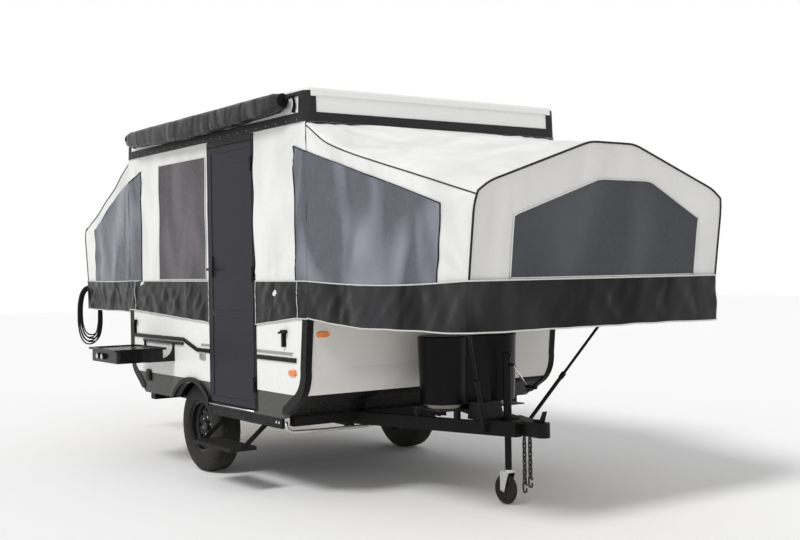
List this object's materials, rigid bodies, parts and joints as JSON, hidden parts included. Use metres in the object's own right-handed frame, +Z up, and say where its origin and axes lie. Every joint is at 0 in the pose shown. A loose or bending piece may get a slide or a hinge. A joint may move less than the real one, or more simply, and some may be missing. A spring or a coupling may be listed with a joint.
{
  "type": "folding camper trailer",
  "caption": "Folding camper trailer set up for use: low box on wheels, raised roof, tent walls, slide-out bunks at both ends, jack and step.",
  "frame": {"origin": "centre of the hitch ball in the coupler's socket", "axes": "+X forward towards the coupler, +Y to the road side, +Z up"},
  "size_m": [6.0892, 2.712, 2.765],
  "materials": {
    "amber_lens": "amber lens",
    "awning": "charcoal vinyl bag",
    "black_frame": "black chassis paint",
    "black_trim": "satin black moulding",
    "board": "birch ply",
    "chain_steel": "dark plated chain",
    "cord_rubber": "black cable sheath",
    "cover_plastic": "black moulded cover",
    "door_metal": "black anodised frame",
    "door_slab": "charcoal door skin",
    "floor": "sealed ply under-floor",
    "galvanised": "zinc plated steel",
    "gas_steel": "pale painted steel",
    "grey_plastic": "grey moulded plastic",
    "griddle_black": "black enamel",
    "red_lens": "red lens",
    "rim": "black painted steel",
    "tent_screen": "charcoal window screen",
    "tent_white": "white coated tent cloth",
    "tread_black": "black step paint with grit",
    "tyre": "tyre rubber",
    "white_panel": "smooth white glass-fibre skin",
    "white_roof": "smooth white skin"
  },
  "bodies": {
    "trailer": {"a_frame": "black_frame", "awning_bag": "awning", "axle": "black_frame", "battery_box": "grey_plastic", "belt_trims": "black_trim", "box_front": "white_panel", "box_rear": "white_panel", "box_side_kerb": "white_panel", "box_side_road": "white_panel", "bunk_rails": "galvanised", "chassis_frame": "black_frame", "coupler": "black_frame", "door_frame": "door_metal", "edge_trims": "black_trim", "floor_pan": "floor", "gas_bottles": "gas_steel", "gas_cover": "cover_plastic", "griddle": "griddle_black", "griddle_bracket": "black_frame", "jack_tube": "black_frame", "lift_posts": "galvanised", "marker_lamps": "amber_lens", "roof_latches": "black_trim", "roof_shell": "white_roof", "roof_trim": "black_trim", "safety_chains": "chain_steel", "stabiliser_hangers": "black_frame", "step_bracket": "black_frame", "support_poles": "black_frame", "tail_lamps": "red_lens", "tent_front": "tent_white", "tent_rear": "tent_white", "tent_wall_kerb": "tent_white", "tent_wall_road": "tent_white", "tent_windows": "tent_screen", "wheel_flares": "black_trim", "wheel_wells": "black_frame"},
    "wheel_kerb": {"tyre_kerb": "tyre", "rim_kerb": "rim"},
    "wheel_road": {"tyre_road": "tyre", "rim_road": "rim"},
    "jack_leg": {"jack_leg": "black_frame"},
    "caster_fork": {"caster_fork": "galvanised"},
    "caster_wheel": {"caster_wheel": "tyre"},
    "door": {"door_leaf": "door_slab"},
    "bunk_front": {"bunk_front": "board", "bow_front": "galvanised"},
    "bunk_rear": {"bunk_rear": "board", "bow_rear": "galvanised", "cord_hook": "galvanised", "power_cord": "cord_rubber"},
    "step_arms": {"step_arms": "black_frame"},
    "step_tread": {"step_tread": "tread_black"},
    "stabiliser_front_kerb": {"stabiliser_front_kerb": "black_frame"},
    "stabiliser_front_road": {"stabiliser_front_road": "black_frame"},
    "stabiliser_rear_kerb": {"stabiliser_rear_kerb": "black_frame"},
    "stabiliser_rear_road": {"stabiliser_rear_road": "black_frame"}
  },
  "joints": [
    {"name": "wheel_kerb_spin", "type": "hinge", "parent": "trailer", "child": "wheel_kerb", "pos_m": [-2.824, -0.937, -0.138], "axis": [0, 1, 0], "continuous": true},
    {"name": "wheel_road_spin", "type": "hinge", "parent": "trailer", "child": "wheel_road", "pos_m": [-2.824, 0.937, -0.138], "axis": [0, 1, 0], "continuous": true},
    {"name": "jack_leg_slide", "type": "slide", "parent": "trailer", "child": "jack_leg", "axis": [0, 0, 1], "range_m": [-0.05, 0.22]},
    {"name": "caster_swivel", "type": "hinge", "parent": "jack_leg", "child": "caster_fork", "pos_m": [-0.33, 0, -0.26], "axis": [0, 0, 1], "continuous": true},
    {"name": "caster_spin", "type": "hinge", "parent": "caster_fork", "child": "caster_wheel", "pos_m": [-0.358, 0, -0.39], "axis": [0, 1, 0], "continuous": true},
    {"name": "door_swing", "type": "hinge", "parent": "trailer", "child": "door", "pos_m": [-1.777, -1.108, 1.05], "axis": [0, 0, 1], "range_deg": [0, 150]},
    {"name": "bunk_front_slide", "type": "slide", "parent": "trailer", "child": "bunk_front", "axis": [-1, 0, 0], "range_m": [0, 1.545], "deforming": ["tent_front"]},
    {"name": "bunk_rear_slide", "type": "slide", "parent": "trailer", "child": "bunk_rear", "axis": [1, 0, 0], "range_m": [0, 1.225], "deforming": ["tent_rear"]},
    {"name": "step_fold", "type": "hinge", "parent": "trailer", "child": "step_arms", "pos_m": [-2.073, -0.985, 0.015], "axis": [1, 0, 0], "range_deg": [0, 100]},
    {"name": "step_level", "type": "hinge", "parent": "step_arms", "child": "step_tread", "pos_m": [-2.073, -1.195, -0.16], "axis": [1, 0, 0], "range_deg": [-100, 0]},
    {"name": "stabiliser_front_kerb_drop", "type": "hinge", "parent": "trailer", "child": "stabiliser_front_kerb", "pos_m": [-1.615, -0.42, -0.042], "axis": [0, -1, 0], "range_deg": [0, 60]},
    {"name": "stabiliser_front_road_drop", "type": "hinge", "parent": "trailer", "child": "stabiliser_front_road", "pos_m": [-1.615, 0.42, -0.042], "axis": [0, -1, 0], "range_deg": [0, 60]},
    {"name": "stabiliser_rear_kerb_drop", "type": "hinge", "parent": "trailer", "child": "stabiliser_rear_kerb", "pos_m": [-3.725, -0.6, -0.042], "axis": [0, 1, 0], "range_deg": [0, 60]},
    {"name": "stabiliser_rear_road_drop", "type": "hinge", "parent": "trailer", "child": "stabiliser_rear_road", "pos_m": [-3.725, 0.6, -0.042], "axis": [0, 1, 0], "range_deg": [0, 60]}
  ],
  "couplings": [
    {"joint": "step_level", "follows": "step_fold", "ratio": -1}
  ]
}
